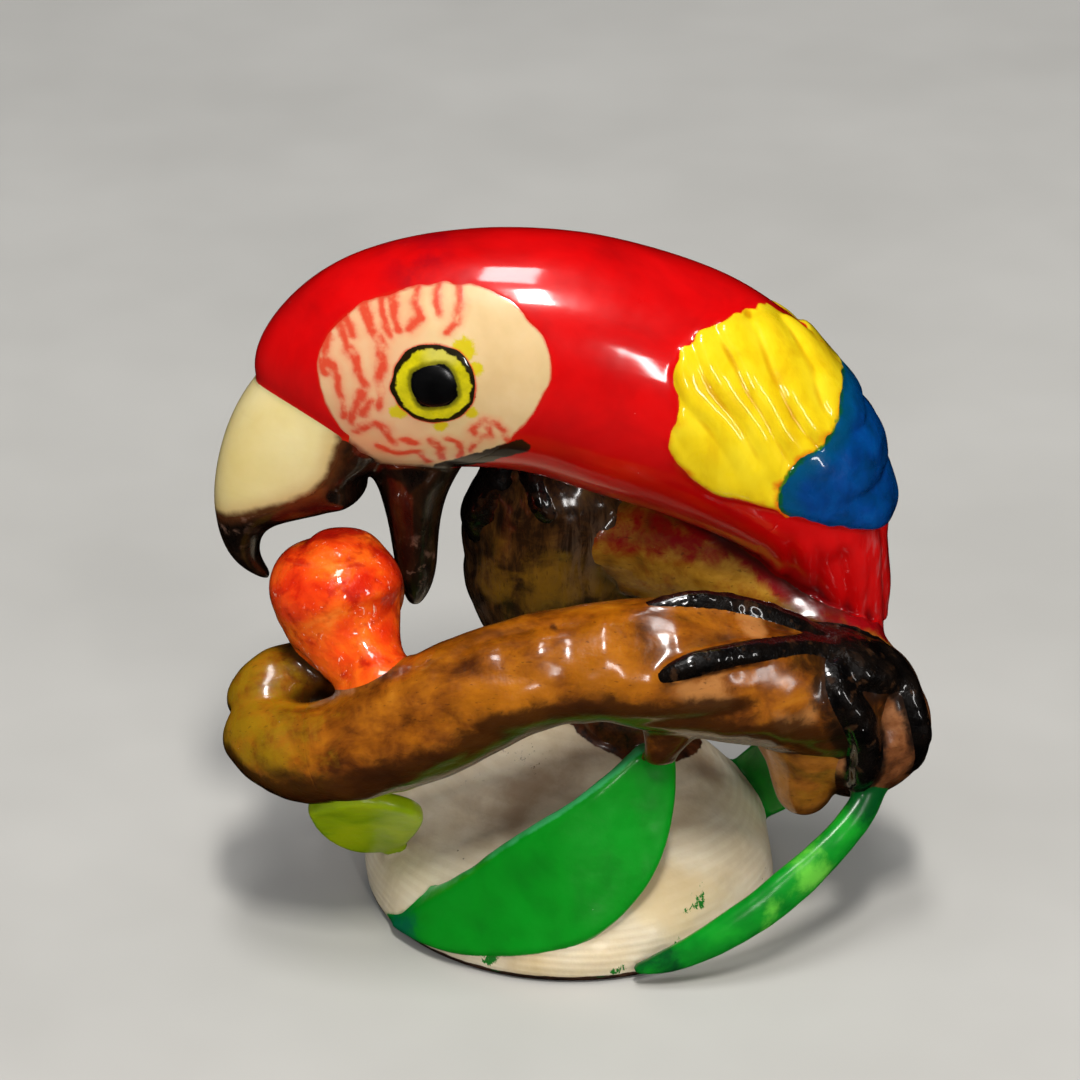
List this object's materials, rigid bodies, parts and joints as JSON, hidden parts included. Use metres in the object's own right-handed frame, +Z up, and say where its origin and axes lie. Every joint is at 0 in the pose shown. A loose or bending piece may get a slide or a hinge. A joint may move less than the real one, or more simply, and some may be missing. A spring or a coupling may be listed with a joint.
{
  "type": "carved macaw figurine",
  "caption": "Small painted tagua-nut carving of a red macaw on a curled branch over a nut base, with a fruit in its open beak and green leaves.",
  "frame": {"origin": "centre of the flat underside, which stands on the surface", "axes": "+Z up; the beak points to -X and the tail to +X; the macaw's left side faces -Y"},
  "size_m": [0.0477, 0.0288, 0.0484],
  "materials": {
    "seed_coat": "matt dark brown seed coat",
    "bare_nut": "polished cream tagua nut, waxed",
    "cheek_nut": "polished cream tagua nut with fine red brush lines",
    "beak_nut": "polished yellow-cream tagua nut",
    "beak_dark": "dark brown stain under gloss varnish",
    "red_lacquer": "high-gloss red paint",
    "yellow_lacquer": "high-gloss yellow paint over carved feather ridges",
    "blue_lacquer": "high-gloss blue paint over carved feather tips",
    "eye_yellow": "yellow-green paint with a thin black rim",
    "pupil_black": "gloss black paint",
    "stained_branch": "ochre-brown stain under gloss varnish",
    "stained_stump": "dark streaky brown stain under varnish",
    "claw_black": "gloss black paint",
    "fruit_orange": "wet-looking orange-red paint",
    "leaf_green": "satin deep green dye",
    "leaf_bright_green": "satin bright green dye",
    "leaf_yellow_green": "thin yellow-green dye, translucent"
  },
  "bodies": {
    "root": {"seed_coat_foot": "seed_coat", "nut_base": "bare_nut", "stump": "stained_stump", "perch_limb": "stained_branch", "burl": "stained_branch", "front_branch": "stained_branch", "branch_hook": "stained_branch", "twig_stub": "stained_branch", "leaf_front": "leaf_green", "leaf_right": "leaf_bright_green", "leaf_left": "leaf_yellow_green", "leaf_back": "leaf_bright_green", "fruit": "fruit_orange", "macaw_body": "red_lacquer", "tail": "red_lacquer", "upper_beak": "beak_nut", "upper_beak_edge": "beak_dark", "lower_beak": "beak_dark", "cheek_left": "cheek_nut", "cheek_right": "cheek_nut", "eye_left": "eye_yellow", "eye_right": "eye_yellow", "pupil_left": "pupil_black", "pupil_right": "pupil_black", "wing_coverts_left": "yellow_lacquer", "wing_coverts_right": "yellow_lacquer", "wing_primaries_left": "blue_lacquer", "wing_primaries_right": "blue_lacquer", "foot_left": "claw_black", "foot_right": "claw_black"}
  },
  "joints": []
}
